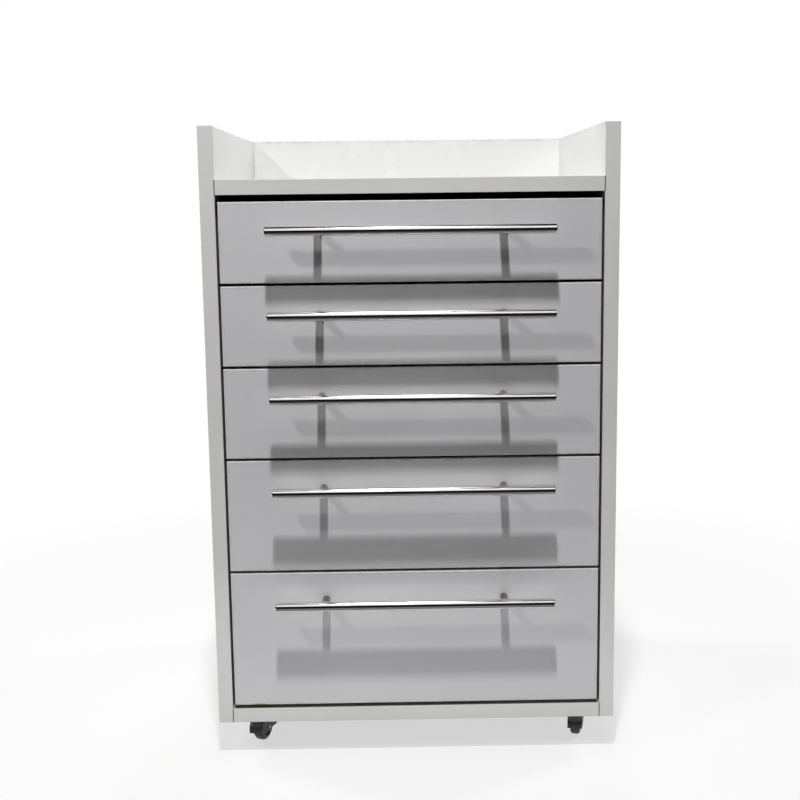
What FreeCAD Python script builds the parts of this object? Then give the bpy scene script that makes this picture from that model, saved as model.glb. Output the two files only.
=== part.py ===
import FreeCAD, Part
import math
import os
import re

import Sketcher

# A white drawer cabinet on casters. X runs to the right, Y to the back, Z up.
# The origin is on the floor, under the middle of the whole piece, handles included.
# Drawer 1 is the top one and drawer 5 the bottom one.

# Driving sizes, in millimetres and degrees

SIZES = {
    # carcass boards
    "cabinet_width": 506,
    "cabinet_depth": 450,
    "board": 18,
    "edge_band": 1,
    "tray_rise": 64,
    "back_sheet": 3,
    "back_groove_depth": 6,
    "back_groove_inset": 10,
    # carcass screws and the plugs that hide them
    "carcass_screw_radius": 2.5,
    "carcass_screw_grip": 32,
    "carcass_screw_head_radius": 5,
    "carcass_screw_head": 3,
    "plug_radius": 6,
    "plug_depth": 1.5,
    "carcass_screw_front_inset": 70,
    "carcass_screw_rear_inset": 85,
    # drawer fronts, from the top one down
    "front_height_1": 98,
    "front_height_2": 98,
    "front_height_3": 112,
    "front_height_4": 141,
    "front_height_5": 174,
    "front_board": 18,
    "front_gap": 3.4,
    "front_side_gap": 3,
    "front_top_gap": 8.4,
    "front_bottom_gap": 5,
    "front_edge_radius": 1,
    # drawer boxes
    "box_board": 15,
    "box_sheet": 3,
    "box_sheet_groove": 5,
    "box_sheet_rise": 8,
    "box_margin": 14,
    "box_rear_room": 32,
    # telescopic runners, measured from the side panel inwards
    "runner_width": 12.7,
    "runner_steel": 1.2,
    "runner_lip": 9.6,
    "runner_height": 45,
    "runner_ball_gap": 3.4,
    "runner_ball_clearance": 0.3,
    "middle_setback": 3.2,
    "middle_lip": 7,
    "drawer_member_lip": 7.4,
    "ball_cage_width": 4,
    "ball_cage_length": 130,
    "ball_cage_inset": 35,
    "runner_screw_radius": 1.75,
    "runner_screw_head_radius": 3.2,
    "runner_screw_head": 1.4,
    "runner_screw_grip": 13,
    "runner_screw_inset": 35,
    # handles
    "bar_radius": 6,
    "bar_length": 347,
    "bar_chamfer": 0.7,
    "bar_reach": 29,
    "post_radius": 5,
    "post_spacing": 224,
    "handle_drop": 35,
    "handle_screw_radius": 2,
    "handle_screw_clearance": 0.4,
    "handle_screw_grip": 12,
    "handle_screw_head_radius": 4,
    "handle_screw_head": 2.4,
    # casters
    "wheel_radius": 17.5,
    "wheel_width": 13,
    "wheel_edge_radius": 4,
    "wheel_rim": 5.5,
    "wheel_dish": 1.8,
    "wheel_hub_radius": 5,
    "wheel_cheek_gap": 0.6,
    "axle_radius": 2,
    "axle_end": 0.6,
    "running_clearance": 0.05,
    "hood_cheek": 2.4,
    "hood_wall": 2.2,
    "hood_clearance": 0.8,
    "hood_skirt": 3,
    "axle_boss_radius": 6.5,
    "swivel_trail": 16,
    "swivel_pin_radius": 2.5,
    "swivel_pin_drop": 10,
    "swivel_collar_radius": 9,
    "swivel_collar_rise": 8,
    "swivel_gap": 0.4,
    "rest_angle_front_left": 22,
    "rest_angle_front_right": 12,
    "rest_angle_rear_left": 15,
    "rest_angle_rear_right": 15,
    "caster_height": 45,
    "caster_side_inset": 44,
    "caster_front_inset": 35,
    "caster_rear_inset": 42,
    "plate_steel": 2.5,
    "plate_corner_radius": 4,
    "plate_screw_spacing": 27,
    "plate_screw_margin": 5.5,
    "plate_screw_radius": 2,
    "plate_screw_head_radius": 3.5,
    "plate_screw_head": 1.8,
    "plate_screw_grip": 13,
    # how far a cutting tool runs past what it cuts
    "overrun": 1,
}

# Sizes and places that follow from them

DERIVED = {
    "handle_reach": "bar_reach + bar_radius",
    "front_y": "(handle_reach - cabinet_depth) / 2",
    "back_y": "front_y + cabinet_depth",
    "inner_width": "cabinet_width - 2 * board",
    "under_z": "caster_height",
    "bay_floor_z": "under_z + board",
    "front_base_5": "bay_floor_z + front_bottom_gap",
    "front_base_4": "front_base_5 + front_height_5 + front_gap",
    "front_base_3": "front_base_4 + front_height_4 + front_gap",
    "front_base_2": "front_base_3 + front_height_3 + front_gap",
    "front_base_1": "front_base_2 + front_height_2 + front_gap",
    "shelf_z": "front_base_1 + front_height_1 + front_top_gap",
    "tray_z": "shelf_z + board",
    "side_top_z": "tray_z + tray_rise",
    "board_front_y": "front_y + edge_band",
    "back_sheet_y": "back_y - back_groove_inset - back_sheet",
    "front_width": "inner_width - 2 * front_side_gap",
    "box_width": "inner_width - 2 * runner_width",
    "box_y": "front_y + front_board",
    "box_length": "cabinet_depth - front_board - box_rear_room",
    "box_end_width": "box_width - 2 * box_board",
    "middle_height": "runner_height - 2 * (runner_steel + runner_ball_gap)",
    "drawer_member_height": "middle_height - 2 * (runner_steel + runner_ball_gap)",
    "cage_height": "runner_ball_gap - runner_ball_clearance",
    "well_width": "wheel_width + 2 * wheel_cheek_gap",
    "hood_width": "well_width + 2 * hood_cheek",
    "axle_z": "wheel_radius",
    "hood_inner_radius": "wheel_radius + hood_clearance",
    "hood_outer_radius": "hood_inner_radius + hood_wall",
    "hood_skirt_z": "axle_z - hood_skirt",
    "plate_size": "plate_screw_spacing + 2 * plate_screw_margin",
    "plate_under_z": "caster_height - plate_steel",
    "collar_top_z": "plate_under_z - swivel_gap",
    "axle_length": "hood_width + 2 * axle_end",
}

HEIGHT_NAME = "front_height_"
DRAWERS = [name.removeprefix(HEIGHT_NAME) for name in SIZES if name.startswith(HEIGHT_NAME)]
SIDES = ("left", "right")
CORNERS = {
    "front_left": ("-1", "front_y + caster_front_inset"),
    "front_right": ("1", "front_y + caster_front_inset"),
    "rear_left": ("-1", "back_y - caster_rear_inset"),
    "rear_right": ("1", "back_y - caster_rear_inset"),
}

doc = FreeCAD.newDocument("drawer_cabinet")
sheet = doc.addObject("Spreadsheet::Sheet", "dims")
for row, (alias, size) in enumerate(SIZES.items(), start=1):
    sheet.set(f"A{row}", alias)
    sheet.set(f"B{row}", str(size))
    sheet.setAlias(f"B{row}", alias)
doc.recompute()


# Binding objects to the sheet


def formula(text):
    """A sum of named sizes as an expression on the sheet's cells."""

    def cell(match):
        word = match.group(0)
        if word in SIZES:
            return f"dims.{word}"
        if word in DERIVED:
            return f"({formula(DERIVED[word])})"
        return word

    return re.sub(r"[a-z][a-z_0-9]*", cell, str(text))


def bind(obj, **properties):
    """Bind an object's properties to sums of named sizes."""
    for name, text in properties.items():
        obj.setExpression(name, formula(text))
    return obj


def place(obj, x="0", y="0", z="0", turn=None):
    """Bind an object's place, and its turn about Z."""
    obj.setExpression(".Placement.Base.x", formula(x))
    obj.setExpression(".Placement.Base.y", formula(y))
    obj.setExpression(".Placement.Base.z", formula(z))
    if turn is not None:
        obj.Placement.Rotation.Axis = FreeCAD.Vector(0, 0, 1)
        obj.setExpression(".Placement.Rotation.Angle", formula(turn))
    return obj


# Primitives and booleans


def new(kind, name):
    """A new object whose label is its name."""
    obj = doc.addObject(kind, name)
    obj.Label = name
    return obj


def box(name, x, y, z, length, width, height):
    """A block by its low corner and its sizes along X, Y and Z."""
    obj = bind(new("Part::Box", name), Length=length, Width=width, Height=height)
    return place(obj, x, y, z)


AXIS_TURNS = {
    "x": FreeCAD.Rotation(FreeCAD.Vector(0, 1, 0), 90),
    "y": FreeCAD.Rotation(FreeCAD.Vector(1, 0, 0), -90),
    "z": FreeCAD.Rotation(),
}


def rod(name, axis, x, y, z, radius, length):
    """A cylinder from the middle of its low end, along X, Y or Z."""
    obj = bind(new("Part::Cylinder", name), Radius=radius, Height=length)
    obj.Placement = FreeCAD.Placement(FreeCAD.Vector(), AXIS_TURNS[axis])
    return place(obj, x, y, z)


def cut(name, base, tool):
    """The base less the tool."""
    obj = new("Part::Cut", name)
    obj.Base = base
    obj.Tool = tool
    return obj


def common(name, base, tool):
    """What the base and the tool share."""
    obj = new("Part::Common", name)
    obj.Base = base
    obj.Tool = tool
    return obj


def fuse(name, pieces):
    """The pieces joined in one solid."""
    obj = new("Part::MultiFuse", name)
    obj.Shapes = pieces
    obj.Refine = True
    return obj


def group(name, pieces):
    """The pieces side by side, each still its own solid."""
    obj = new("Part::Compound", name)
    obj.Links = pieces
    return obj


# Sketched bodies


def sketch_on(body, role, name):
    """A sketch on one of the body's own origin planes."""
    plane = next(f for f in body.Origin.OriginFeatures if f.Role == role)
    sketch = body.newObject("Sketcher::SketchObject", name)
    sketch.AttachmentSupport = [(plane, "")]
    sketch.MapMode = "FlatFace"
    return sketch


def pin_point(sketch, element, end, across, up):
    """Fix a sketch point at named distances from the sketch's origin."""
    for direction, text in (("DistanceX", across), ("DistanceY", up)):
        constraint = Sketcher.Constraint(direction, -1, 1, element, end, 1.0)
        index = sketch.addConstraint(constraint)
        sketch.setExpression(f"Constraints[{index}]", formula(text))


def outline(sketch, corners):
    """A closed outline of straight edges through corners given as named sizes."""
    count = len(corners)
    turn = 2 * math.pi / count
    ring = [FreeCAD.Vector(math.cos(turn * i), math.sin(turn * i), 0) for i in range(count)]
    for i in range(count):
        sketch.addGeometry(Part.LineSegment(ring[i], ring[(i + 1) % count]), False)
    for i in range(count):
        sketch.addConstraint(Sketcher.Constraint("Coincident", i, 2, (i + 1) % count, 1))
    for i, (across, up) in enumerate(corners):
        pin_point(sketch, i, 1, across, up)


def circles(sketch, radius, centres):
    """Circles of one named radius at named centres."""
    for across, up in centres:
        start = Part.Circle(FreeCAD.Vector(0, 0, 0), FreeCAD.Vector(0, 0, 1), 1.0)
        element = sketch.addGeometry(start, False)
        index = sketch.addConstraint(Sketcher.Constraint("Radius", element, 1.0))
        sketch.setExpression(f"Constraints[{index}]", formula(radius))
        pin_point(sketch, element, 3, across, up)


def rectangle(width, height):
    """Corners of a rectangle that starts at the sketch's origin."""
    return [("0", "0"), (width, "0"), (width, height), ("0", height)]


def pad(body, sketch, length):
    """Pad a sketch."""
    feature = body.newObject("PartDesign::Pad", f"{body.Name}_pad")
    feature.Profile = sketch
    bind(feature, Length=length)
    doc.recompute()
    return feature


def pocket_through(body, sketch):
    """Pocket a sketch all through the solid that lies on its normal's side."""
    before = body.Shape.Volume
    feature = body.newObject("PartDesign::Pocket", f"{body.Name}_pocket")
    feature.Profile = sketch
    feature.Type = "ThroughAll"
    feature.Reversed = True
    doc.recompute()
    if not body.Shape.Volume < before:
        raise RuntimeError(f"{body.Label}: the pocket cuts nothing")
    return feature


def round_edges(body, radius, wanted):
    """Round the edges of the body that pass a test."""
    solid = body.Tip
    before = body.Shape.Volume
    edges = [f"Edge{i}" for i, edge in enumerate(body.Shape.Edges, start=1) if wanted(edge)]
    feature = body.newObject("PartDesign::Fillet", f"{body.Name}_fillet")
    feature.Base = (solid, edges)
    bind(feature, Radius=radius)
    doc.recompute()
    if not body.Shape.Volume < before:
        raise RuntimeError(f"{body.Label}: no edge is rounded")
    return feature


def turned(name, corners):
    """A solid turned about X: corners give the place along X and the radius."""
    body = new("PartDesign::Body", name)
    sketch = sketch_on(body, "XZ_Plane", f"{name}_profile")
    outline(sketch, corners)
    feature = body.newObject("PartDesign::Revolution", f"{name}_turn")
    feature.Profile = sketch
    feature.ReferenceAxis = (sketch, ["H_Axis"])
    feature.Angle = 360
    doc.recompute()
    return body


# Screws: a head and a shank, along one axis


def screw_along_x(name, toward, head_radius, head, shank_radius, shank):
    """A screw whose head's outer face is at the origin and which points along X."""
    if toward == "right":
        parts = [
            rod(f"{name}_head", "x", "0", "0", "0", head_radius, head),
            rod(f"{name}_shank", "x", head, "0", "0", shank_radius, shank),
        ]
    else:
        parts = [
            rod(f"{name}_head", "x", f"-({head})", "0", "0", head_radius, head),
            rod(f"{name}_shank", "x", f"-({head}) - ({shank})", "0", "0", shank_radius, shank),
        ]
    return fuse(name, parts)


def copies(name, master, places):
    """Copies of a piece at named places, each its own solid."""
    made = []
    for i, (x, y, z) in enumerate(places, start=1):
        made.append(place(group(f"{name}_{i}", [master]), x, y, z))
    return made


# Carcass fasteners

SHANK = "board - plug_depth - carcass_screw_head + carcass_screw_grip"
SHELF_ROWS = ("under_z + board / 2", "tray_z - board / 2")
SCREW_YS = ("front_y + carcass_screw_front_inset", "back_y - carcass_screw_rear_inset")
UPSTAND_ROW = ("back_y - board / 2", "tray_z + tray_rise / 2")

screw_spots = [(y, z) for z in SHELF_ROWS for y in SCREW_YS] + [UPSTAND_ROW]
carcass_screws = []
plugs = []
for side in SIDES:
    toward = "right" if side == "left" else "left"
    sign = "-1" if side == "left" else "1"
    master = screw_along_x(
        f"carcass_screw_{side}",
        toward,
        "carcass_screw_head_radius",
        "carcass_screw_head",
        "carcass_screw_radius",
        SHANK,
    )
    head_x = f"{sign} * (cabinet_width / 2 - plug_depth)"
    places = [(head_x, y, z) for y, z in screw_spots]
    carcass_screws += copies(f"carcass_screws_{side}", master, places)
    plug_x = "-cabinet_width / 2" if side == "left" else "cabinet_width / 2 - plug_depth"
    for i, (y, z) in enumerate(screw_spots, start=1):
        plugs.append(rod(f"plug_{side}_{i}", "x", plug_x, y, z, "plug_radius", "plug_depth"))

carcass_screws_node = group("carcass_screws", carcass_screws)
screw_plugs_node = group("screw_plugs", plugs)


# Runners: cabinet, middle and drawer members, all centred on Z = 0


def runner_block(name, side, inset, width, y, length, low, height):
    """A block measured from a side panel inwards."""
    if side == "left":
        x = f"-inner_width / 2 + {inset}"
    else:
        x = f"inner_width / 2 - ({inset}) - ({width})"
    return box(name, x, y, low, width, length, height)


def channel(name, side, inset, depth, height, web):
    """A steel channel along Y whose web is on its near or far side."""
    outer = runner_block(
        f"{name}_outer", side, inset, depth, "box_y", "box_length", f"-({height}) / 2", height
    )
    hollow_inset = f"{inset} + runner_steel" if web == "near" else f"{inset} - overrun"
    hollow = runner_block(
        f"{name}_hollow",
        side,
        hollow_inset,
        f"{depth} - runner_steel + overrun",
        "box_y - overrun",
        "box_length + 2 * overrun",
        f"-({height}) / 2 + runner_steel",
        f"{height} - 2 * runner_steel",
    )
    return cut(name, outer, hollow)


def ball_cages(side):
    """Ball cages of one middle member: outer ones at the rear, inner ones at the front."""
    inset = "middle_setback + runner_steel"
    rear = "box_y + box_length - ball_cage_inset - ball_cage_length"
    front = "box_y + ball_cage_inset"
    rows = {
        "outer_top": (rear, "middle_height / 2"),
        "outer_bottom": (rear, "-middle_height / 2 - cage_height"),
        "inner_top": (front, "middle_height / 2 - runner_steel - cage_height"),
        "inner_bottom": (front, "-middle_height / 2 + runner_steel"),
    }
    return [
        runner_block(
            f"cage_{side}_{row}", side, inset, "ball_cage_width", y, "ball_cage_length", low, "cage_height"
        )
        for row, (y, low) in rows.items()
    ]


RUNNER_SCREW_YS = (
    "box_y + runner_screw_inset",
    "box_y + box_length / 2",
    "box_y + box_length - runner_screw_inset",
)

cabinet_members = []
middle_members = []
drawer_members = []
runner_screws = []
for side in SIDES:
    toward = "left" if side == "left" else "right"
    sign = "-1" if side == "left" else "1"
    screw = screw_along_x(
        f"runner_screw_{side}",
        toward,
        "runner_screw_head_radius",
        "runner_screw_head",
        "runner_screw_radius",
        "runner_steel + runner_screw_grip",
    )
    head_x = f"{sign} * (inner_width / 2 - runner_steel - runner_screw_head)"
    places = [(head_x, y, "0") for y in RUNNER_SCREW_YS]
    screws = group(f"runner_screws_{side}", copies(f"runner_screw_{side}_at", screw, places))
    runner_screws.append(screws)
    rail = channel(f"cabinet_rail_{side}", side, "0", "runner_lip", "runner_height", "near")
    cabinet_members.append(cut(f"cabinet_member_{side}", rail, screws))
    middle_members.append(
        channel(f"middle_member_{side}", side, "middle_setback", "middle_lip", "middle_height", "near")
    )
    middle_members += ball_cages(side)
    drawer_members.append(
        channel(
            f"drawer_member_{side}",
            side,
            "runner_width - drawer_member_lip",
            "drawer_member_lip",
            "drawer_member_height",
            "far",
        )
    )


def runner_z(k):
    """The height of a drawer's runners: half way up its box."""
    return f"front_base_{k} + front_height_{k} / 2"


cabinet_rails_node = group(
    "runner_cabinet_members",
    [place(group(f"cabinet_rails_{k}", cabinet_members), z=runner_z(k)) for k in DRAWERS],
)
runner_screws_node = group(
    "runner_screws",
    [place(group(f"rail_screws_{k}", runner_screws), z=runner_z(k)) for k in DRAWERS],
)


# Caster plates and their screws

plate_body = new("PartDesign::Body", "plate_blank")
plate_sketch = sketch_on(plate_body, "XY_Plane", "plate_outline")
outline(
    plate_sketch,
    [
        ("-plate_size / 2", "-plate_size / 2"),
        ("plate_size / 2", "-plate_size / 2"),
        ("plate_size / 2", "plate_size / 2"),
        ("-plate_size / 2", "plate_size / 2"),
    ],
)
pad(plate_body, plate_sketch, "plate_steel")
round_edges(
    plate_body,
    "plate_corner_radius",
    lambda edge: abs(edge.tangentAt(edge.FirstParameter).z) > 0.5,
)
place(plate_body, z="plate_under_z")

plate_screw = fuse(
    "plate_screw",
    [
        rod(
            "plate_screw_head_rod",
            "z",
            "0",
            "0",
            "plate_under_z - plate_screw_head",
            "plate_screw_head_radius",
            "plate_screw_head",
        ),
        rod(
            "plate_screw_shank_rod",
            "z",
            "0",
            "0",
            "plate_under_z",
            "plate_screw_radius",
            "plate_steel + plate_screw_grip",
        ),
    ],
)
HALF_SPACING = "plate_screw_spacing / 2"
plate_screws = group(
    "plate_screw_set",
    copies(
        "plate_screw_at",
        plate_screw,
        [(f"{a} * {HALF_SPACING}", f"{b} * {HALF_SPACING}", "0") for a in (-1, 1) for b in (-1, 1)],
    ),
)
plate_with_pin = fuse(
    "plate_with_pin",
    [
        cut("plate_drilled", plate_body, plate_screws),
        rod(
            "swivel_pin",
            "z",
            "0",
            "0",
            "plate_under_z - swivel_pin_drop",
            "swivel_pin_radius",
            "swivel_pin_drop + plate_steel / 2",
        ),
    ],
)


def caster_place(corner):
    """The swivel axis of a caster, as named sizes."""
    sign, y = CORNERS[corner]
    return f"{sign} * (cabinet_width / 2 - caster_side_inset)", y


def at_casters(name, pieces):
    """Copies of pieces at each caster's swivel axis."""
    made = []
    for corner in CORNERS:
        x, y = caster_place(corner)
        made.append(place(group(f"{name}_{corner}", pieces), x, y))
    return made


caster_plates_node = group("caster_plates", at_casters("caster_plate", [plate_with_pin]))
caster_screws_node = group("caster_plate_screws", at_casters("caster_screws", [plate_screws]))


# Caster housing, wheel and axle, in the swivel's own frame with the wheel behind it

hood_round = common(
    "hood_upper",
    rod(
        "hood_disc", "x", "-hood_width / 2", "swivel_trail", "axle_z", "hood_outer_radius", "hood_width"
    ),
    box(
        "hood_keep",
        "-hood_width / 2 - overrun",
        "swivel_trail - hood_outer_radius - overrun",
        "hood_skirt_z",
        "hood_width + 2 * overrun",
        "2 * (hood_outer_radius + overrun)",
        "hood_outer_radius + hood_skirt + overrun",
    ),
)
COLLAR_BASE = "axle_z + swivel_collar_rise"
housing_solid = fuse(
    "housing_solid",
    [
        hood_round,
        rod(
            "hood_collar",
            "z",
            "0",
            "0",
            COLLAR_BASE,
            "swivel_collar_radius",
            f"collar_top_z - ({COLLAR_BASE})",
        ),
        rod(
            "hood_axle_boss",
            "x",
            "-hood_width / 2",
            "swivel_trail",
            "axle_z",
            "axle_boss_radius",
            "hood_width",
        ),
    ],
)
housing_tools = group(
    "housing_tools",
    [
        rod(
            "wheel_well",
            "x",
            "-well_width / 2",
            "swivel_trail",
            "axle_z",
            "hood_inner_radius",
            "well_width",
        ),
        rod(
            "pin_hole",
            "z",
            "0",
            "0",
            "plate_under_z - swivel_pin_drop - swivel_gap",
            "swivel_pin_radius + running_clearance",
            "swivel_pin_drop + swivel_gap",
        ),
        rod(
            "axle_hole_left",
            "x",
            "-hood_width / 2 - overrun",
            "swivel_trail",
            "axle_z",
            "axle_radius + running_clearance",
            "hood_cheek + 2 * overrun",
        ),
        rod(
            "axle_hole_right",
            "x",
            "well_width / 2 - overrun",
            "swivel_trail",
            "axle_z",
            "axle_radius + running_clearance",
            "hood_cheek + 2 * overrun",
        ),
    ],
)
housing = cut("housing", housing_solid, housing_tools)

WHEEL_RIGHT_HALF = [
    ("wheel_width / 2", "wheel_radius"),
    ("wheel_width / 2", "wheel_radius - wheel_rim"),
    ("wheel_width / 2 - wheel_dish", "wheel_radius - wheel_rim - wheel_dish"),
    ("wheel_width / 2 - wheel_dish", "wheel_hub_radius"),
    ("wheel_width / 2 - wheel_dish / 2", "wheel_hub_radius - wheel_dish / 2"),
    ("wheel_width / 2 - wheel_dish / 2", "axle_radius"),
]
WHEEL_LEFT_HALF = [(f"-({across})", radius) for across, radius in reversed(WHEEL_RIGHT_HALF)]
wheel = turned("wheel_blank", WHEEL_RIGHT_HALF + WHEEL_LEFT_HALF)
tread = sheet.wheel_radius


def is_tread_edge(edge):
    """True for the two circles at the tread's edges."""
    return hasattr(edge.Curve, "Radius") and abs(edge.Curve.Radius - tread) < tread / 1000


round_edges(wheel, "wheel_edge_radius", is_tread_edge)
wheel_seated = place(group("wheel_seated", [wheel]), "0", "swivel_trail", "axle_z")
axle = rod("axle", "x", "-axle_length / 2", "swivel_trail", "axle_z", "axle_radius", "axle_length")

caster_nodes = []
for corner in CORNERS:
    x, y = caster_place(corner)
    for name, pieces in (
        ("caster_housing", [housing]),
        ("caster_wheel", [wheel_seated]),
        ("caster_axle", [axle]),
    ):
        node = group(f"{name}_{corner}", pieces)
        caster_nodes.append(place(node, x, y, turn=f"-rest_angle_{corner}"))


# Carcass boards

BOARD_DEPTH = "cabinet_depth - edge_band"
SHELF_X = "-inner_width / 2"
back_sheet_node = box(
    "back_sheet",
    "-inner_width / 2 - back_groove_depth",
    "back_sheet_y",
    "bay_floor_z",
    "inner_width + 2 * back_groove_depth",
    "back_sheet",
    "shelf_z - bay_floor_z",
)
side_tools = group(
    "side_tools", [back_sheet_node, carcass_screws_node, screw_plugs_node, runner_screws_node]
)
side_nodes = []
for side in SIDES:
    x = "-cabinet_width / 2" if side == "left" else "inner_width / 2"
    blank = box(
        f"side_blank_{side}",
        x,
        "board_front_y",
        "under_z",
        "board",
        BOARD_DEPTH,
        "side_top_z - edge_band - under_z",
    )
    side_nodes.append(cut(f"side_panel_{side}", blank, side_tools))

# the top board ends at the upstand, which stands behind it
TOP_DEPTH = f"{BOARD_DEPTH} - board"
top_blank = box("top_blank", SHELF_X, "board_front_y", "shelf_z", "inner_width", TOP_DEPTH, "board")
top_node = cut("top_board", top_blank, carcass_screws_node)
bottom_blank = box(
    "bottom_blank", SHELF_X, "board_front_y", "under_z", "inner_width", BOARD_DEPTH, "board"
)
bottom_tools = group("bottom_tools", [carcass_screws_node, caster_screws_node])
bottom_node = cut("bottom_board", bottom_blank, bottom_tools)
upstand_blank = box(
    "upstand_blank",
    SHELF_X,
    "back_y - board",
    "shelf_z",
    "inner_width",
    "board",
    "side_top_z - edge_band - shelf_z",
)
upstand_node = cut("tray_upstand", upstand_blank, carcass_screws_node)

bands = []
for side in SIDES:
    x = "-cabinet_width / 2" if side == "left" else "inner_width / 2"
    bands.append(
        box(f"front_band_{side}", x, "front_y", "under_z", "board", "edge_band", "side_top_z - under_z")
    )
    bands.append(
        box(
            f"top_band_{side}",
            x,
            "board_front_y",
            "side_top_z - edge_band",
            "board",
            BOARD_DEPTH,
            "edge_band",
        )
    )
bands.append(box("top_board_band", SHELF_X, "front_y", "shelf_z", "inner_width", "edge_band", "board"))
bands.append(box("bottom_board_band", SHELF_X, "front_y", "under_z", "inner_width", "edge_band", "board"))
bands.append(
    box(
        "upstand_band",
        SHELF_X,
        "back_y - board",
        "side_top_z - edge_band",
        "inner_width",
        "board",
        "edge_band",
    )
)
bands_node = group("carcass_edge_band", bands)


# Handle, with its origin on the drawer front's face at the height of its bar

bar = place(
    turned(
        "handle_bar",
        [
            ("0", "0"),
            ("0", "bar_radius - bar_chamfer"),
            ("bar_chamfer", "bar_radius"),
            ("bar_length - bar_chamfer", "bar_radius"),
            ("bar_length", "bar_radius - bar_chamfer"),
            ("bar_length", "0"),
        ],
    ),
    "-bar_length / 2",
    "-bar_reach",
)
handle_pieces = [bar]
POST_XS = {"left": "-post_spacing / 2", "right": "post_spacing / 2"}
for side, x in POST_XS.items():
    screw = fuse(
        f"handle_screw_{side}",
        [
            rod(
                f"handle_screw_shank_{side}",
                "y",
                x,
                "-handle_screw_grip",
                "0",
                "handle_screw_radius",
                "handle_screw_grip + front_board + box_board",
            ),
            rod(
                f"handle_screw_head_{side}",
                "y",
                x,
                "front_board + box_board",
                "0",
                "handle_screw_head_radius",
                "handle_screw_head",
            ),
        ],
    )
    stem = rod(f"handle_stem_{side}", "y", x, "-bar_reach", "0", "post_radius", "bar_reach")
    post = cut(f"handle_post_{side}", stem, group(f"handle_post_tools_{side}", [bar, screw]))
    handle_pieces += [post, screw]


# Drawers


def drawer_front(k):
    """A drawer front with eased edges and its two handle holes."""
    height = f"front_height_{k}"
    body = new("PartDesign::Body", f"drawer_front_{k}")
    face = sketch_on(body, "XZ_Plane", f"front_outline_{k}")
    outline(face, rectangle("front_width", height))
    pad(body, face, "front_board")
    depth = body.Shape.BoundBox.YLength
    round_edges(
        body, "front_edge_radius", lambda edge: edge.BoundBox.YMax < -depth / 2
    )
    holes = sketch_on(body, "XZ_Plane", f"front_holes_{k}")
    row = f"{height} - handle_drop"
    circles(
        holes,
        "handle_screw_radius + handle_screw_clearance",
        [(f"front_width / 2 + ({x})", row) for x in POST_XS.values()],
    )
    pocket_through(body, holes)
    return place(body, "-front_width / 2", "box_y", f"front_base_{k}")


def drawer_box(k):
    """The side boards, end boards and bottom sheet of a drawer."""
    low = f"front_base_{k} + box_margin"
    height = f"front_height_{k} - 2 * box_margin"
    bottom = box(
        f"drawer_bottom_{k}",
        "-box_end_width / 2 - box_sheet_groove",
        "box_y + box_board - box_sheet_groove",
        f"{low} + box_sheet_rise",
        "box_end_width + 2 * box_sheet_groove",
        "box_length - 2 * (box_board - box_sheet_groove)",
        "box_sheet",
    )
    sides = []
    for side in SIDES:
        x = "-box_width / 2" if side == "left" else "box_width / 2 - box_board"
        blank = box(f"box_side_blank_{k}_{side}", x, "box_y", low, "box_board", "box_length", height)
        sides.append(cut(f"box_side_{k}_{side}", blank, bottom))
    holes = group(
        f"box_holes_{k}",
        [bottom]
        + [
            rod(
                f"box_hole_{k}_{side}",
                "y",
                x,
                "box_y - overrun",
                f"front_base_{k} + front_height_{k} - handle_drop",
                "handle_screw_radius + handle_screw_clearance",
                "box_board + 2 * overrun",
            )
            for side, x in POST_XS.items()
        ],
    )
    ends = []
    for end, y in (("front", "box_y"), ("rear", "box_y + box_length - box_board")):
        blank = box(
            f"box_end_blank_{k}_{end}", "-box_end_width / 2", y, low, "box_end_width", "box_board", height
        )
        ends.append(cut(f"box_end_{k}_{end}", blank, holes if end == "front" else bottom))
    return [group(f"drawer_sides_{k}", sides), group(f"drawer_ends_{k}", ends), bottom]


drawer_nodes = []
for k in DRAWERS:
    drawer_nodes.append(drawer_front(k))
    drawer_nodes += drawer_box(k)
    handle = group(f"handle_{k}", handle_pieces)
    drawer_nodes.append(place(handle, y="front_y", z=f"front_base_{k} + front_height_{k} - handle_drop"))
    drawer_nodes.append(place(group(f"runner_drawer_members_{k}", drawer_members), z=runner_z(k)))
    drawer_nodes.append(place(group(f"runner_middle_members_{k}", middle_members), z=runner_z(k)))

NODES = [
    *side_nodes,
    top_node,
    bottom_node,
    upstand_node,
    back_sheet_node,
    bands_node,
    carcass_screws_node,
    screw_plugs_node,
    cabinet_rails_node,
    runner_screws_node,
    caster_plates_node,
    caster_screws_node,
    *caster_nodes,
    *drawer_nodes,
]


# Checks, then one file for each piece

doc.recompute()
for obj in doc.Objects:
    if "Invalid" in obj.State or "Error" in obj.State:
        raise RuntimeError(f"{obj.Label}: {obj.State}")
for node in NODES:
    if node.Shape.isNull() or not node.Shape.isValid() or not node.Shape.Solids:
        raise RuntimeError(f"{node.Label}: no sound shape")
os.makedirs("parts", exist_ok=True)
for node in NODES:
    node.Shape.exportStep(f"parts/{node.Label}.step")
    print(f"{node.Label}: {len(node.Shape.Solids)} solids, {node.Shape.Volume / 1000:.1f} cm3")
print(f"{len(NODES)} nodes")
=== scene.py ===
"""The looks of a white drawer cabinet on casters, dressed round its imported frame.

X runs to the right, Y to the back and Z up, in metres, with the origin on the floor.
Drawer 1 is the top one. Every piece of the cabinet comes from the frame, and only the
stage is added.
"""

import logging
import math
from dataclasses import dataclass, replace
from enum import Enum

import bpy
from mathutils import Matrix, Vector

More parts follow.
